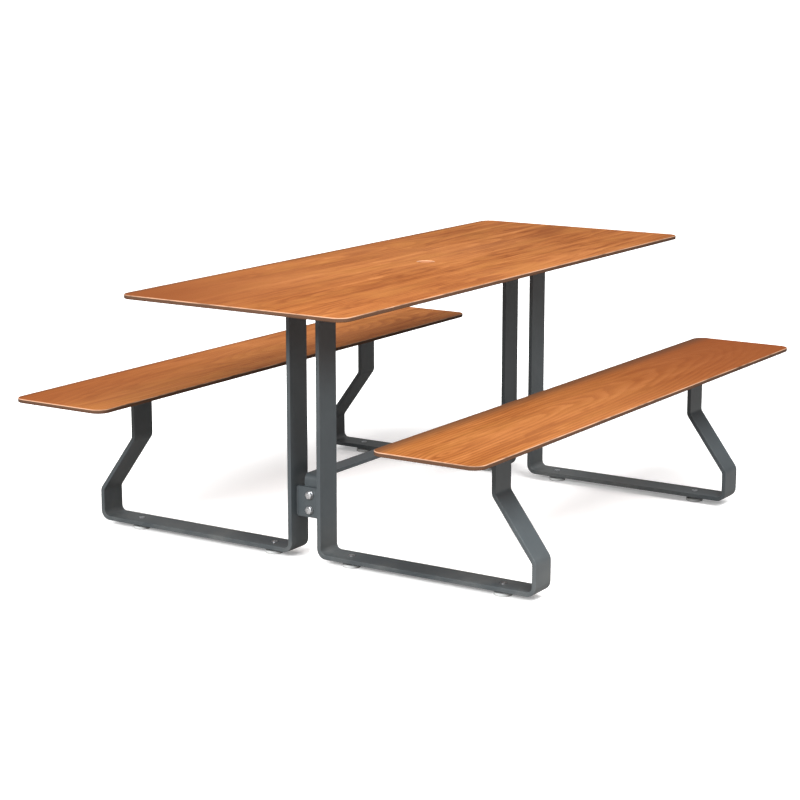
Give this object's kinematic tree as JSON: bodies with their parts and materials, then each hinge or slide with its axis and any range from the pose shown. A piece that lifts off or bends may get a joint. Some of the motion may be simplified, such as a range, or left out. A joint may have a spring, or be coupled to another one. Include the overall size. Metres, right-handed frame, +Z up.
{
  "type": "picnic table",
  "caption": "Rectangular picnic table: thin wood-look tabletop with a parasol hole and two benches on bent flat-bar steel legs, with a stretcher and levelling feet.",
  "frame": {"origin": "on the floor, under the middle of the tabletop, which is also the middle of the whole table in plan", "axes": "+X along the table, +Y across it towards the left bench, +Z up"},
  "size_m": [1.88, 1.484, 0.75],
  "materials": {
    "board": "satin, fine lengthways grain, dark brown core at the edges",
    "steel_coated": "fine-textured anthracite powder coat",
    "zinc": "bright zinc plating",
    "insert_brass": "plain brass",
    "foot_plastic": "light grey plastic, slightly see-through"
  },
  "bodies": {
    "table": {"tabletop": "board", "seat_left": "board", "seat_right": "board", "leg_frame_front_left": "steel_coated", "leg_frame_front_right": "steel_coated", "leg_frame_rear_left": "steel_coated", "leg_frame_rear_right": "steel_coated", "support_bar_front": "steel_coated", "support_bar_rear": "steel_coated", "seat_plate_front_left": "steel_coated", "seat_plate_front_right": "steel_coated", "seat_plate_rear_left": "steel_coated", "seat_plate_rear_right": "steel_coated", "cross_plate_front": "steel_coated", "cross_plate_rear": "steel_coated", "stretcher": "steel_coated", "tabletop_screws": "zinc", "tabletop_inserts": "insert_brass", "seat_screws": "zinc", "seat_inserts": "insert_brass", "stretcher_bolts": "zinc", "stretcher_washers": "zinc", "stretcher_nuts": "zinc", "foot_sleeves": "zinc"},
    "pad_front_left_inner": {"foot_pad_front_left_inner": "foot_plastic"},
    "stud_front_left_inner": {"foot_stud_front_left_inner": "zinc"},
    "pad_front_left_outer": {"foot_pad_front_left_outer": "foot_plastic"},
    "stud_front_left_outer": {"foot_stud_front_left_outer": "zinc"},
    "pad_front_right_inner": {"foot_pad_front_right_inner": "foot_plastic"},
    "stud_front_right_inner": {"foot_stud_front_right_inner": "zinc"},
    "pad_front_right_outer": {"foot_pad_front_right_outer": "foot_plastic"},
    "stud_front_right_outer": {"foot_stud_front_right_outer": "zinc"},
    "pad_rear_left_inner": {"foot_pad_rear_left_inner": "foot_plastic"},
    "stud_rear_left_inner": {"foot_stud_rear_left_inner": "zinc"},
    "pad_rear_left_outer": {"foot_pad_rear_left_outer": "foot_plastic"},
    "stud_rear_left_outer": {"foot_stud_rear_left_outer": "zinc"},
    "pad_rear_right_inner": {"foot_pad_rear_right_inner": "foot_plastic"},
    "stud_rear_right_inner": {"foot_stud_rear_right_inner": "zinc"},
    "pad_rear_right_outer": {"foot_pad_rear_right_outer": "foot_plastic"},
    "stud_rear_right_outer": {"foot_stud_rear_right_outer": "zinc"}
  },
  "joints": [
    {"name": "foot_height_front_left_inner", "type": "slide", "parent": "table", "child": "pad_front_left_inner", "axis": [0, 0, -1], "range_m": [0, 0.01]},
    {"name": "foot_screw_front_left_inner", "type": "hinge", "parent": "pad_front_left_inner", "child": "stud_front_left_inner", "pos_m": [-0.575, 0.129, 0.012], "axis": [0, 0, -1], "range_deg": [0, 2400]},
    {"name": "foot_height_front_left_outer", "type": "slide", "parent": "table", "child": "pad_front_left_outer", "axis": [0, 0, -1], "range_m": [0, 0.01]},
    {"name": "foot_screw_front_left_outer", "type": "hinge", "parent": "pad_front_left_outer", "child": "stud_front_left_outer", "pos_m": [-0.575, 0.601, 0.012], "axis": [0, 0, -1], "range_deg": [0, 2400]},
    {"name": "foot_height_front_right_inner", "type": "slide", "parent": "table", "child": "pad_front_right_inner", "axis": [0, 0, -1], "range_m": [0, 0.01]},
    {"name": "foot_screw_front_right_inner", "type": "hinge", "parent": "pad_front_right_inner", "child": "stud_front_right_inner", "pos_m": [-0.575, -0.129, 0.012], "axis": [0, 0, -1], "range_deg": [0, 2400]},
    {"name": "foot_height_front_right_outer", "type": "slide", "parent": "table", "child": "pad_front_right_outer", "axis": [0, 0, -1], "range_m": [0, 0.01]},
    {"name": "foot_screw_front_right_outer", "type": "hinge", "parent": "pad_front_right_outer", "child": "stud_front_right_outer", "pos_m": [-0.575, -0.601, 0.012], "axis": [0, 0, -1], "range_deg": [0, 2400]},
    {"name": "foot_height_rear_left_inner", "type": "slide", "parent": "table", "child": "pad_rear_left_inner", "axis": [0, 0, -1], "range_m": [0, 0.01]},
    {"name": "foot_screw_rear_left_inner", "type": "hinge", "parent": "pad_rear_left_inner", "child": "stud_rear_left_inner", "pos_m": [0.575, 0.129, 0.012], "axis": [0, 0, -1], "range_deg": [0, 2400]},
    {"name": "foot_height_rear_left_outer", "type": "slide", "parent": "table", "child": "pad_rear_left_outer", "axis": [0, 0, -1], "range_m": [0, 0.01]},
    {"name": "foot_screw_rear_left_outer", "type": "hinge", "parent": "pad_rear_left_outer", "child": "stud_rear_left_outer", "pos_m": [0.575, 0.601, 0.012], "axis": [0, 0, -1], "range_deg": [0, 2400]},
    {"name": "foot_height_rear_right_inner", "type": "slide", "parent": "table", "child": "pad_rear_right_inner", "axis": [0, 0, -1], "range_m": [0, 0.01]},
    {"name": "foot_screw_rear_right_inner", "type": "hinge", "parent": "pad_rear_right_inner", "child": "stud_rear_right_inner", "pos_m": [0.575, -0.129, 0.012], "axis": [0, 0, -1], "range_deg": [0, 2400]},
    {"name": "foot_height_rear_right_outer", "type": "slide", "parent": "table", "child": "pad_rear_right_outer", "axis": [0, 0, -1], "range_m": [0, 0.01]},
    {"name": "foot_screw_rear_right_outer", "type": "hinge", "parent": "pad_rear_right_outer", "child": "stud_rear_right_outer", "pos_m": [0.575, -0.601, 0.012], "axis": [0, 0, -1], "range_deg": [0, 2400]}
  ],
  "couplings": [
    {"joint": "foot_screw_front_left_inner", "follows": "foot_height_front_left_inner", "rad_per_m": 4188.8},
    {"joint": "foot_screw_front_left_outer", "follows": "foot_height_front_left_outer", "rad_per_m": 4188.8},
    {"joint": "foot_screw_front_right_inner", "follows": "foot_height_front_right_inner", "rad_per_m": 4188.8},
    {"joint": "foot_screw_front_right_outer", "follows": "foot_height_front_right_outer", "rad_per_m": 4188.8},
    {"joint": "foot_screw_rear_left_inner", "follows": "foot_height_rear_left_inner", "rad_per_m": 4188.8},
    {"joint": "foot_screw_rear_left_outer", "follows": "foot_height_rear_left_outer", "rad_per_m": 4188.8},
    {"joint": "foot_screw_rear_right_inner", "follows": "foot_height_rear_right_inner", "rad_per_m": 4188.8},
    {"joint": "foot_screw_rear_right_outer", "follows": "foot_height_rear_right_outer", "rad_per_m": 4188.8}
  ]
}
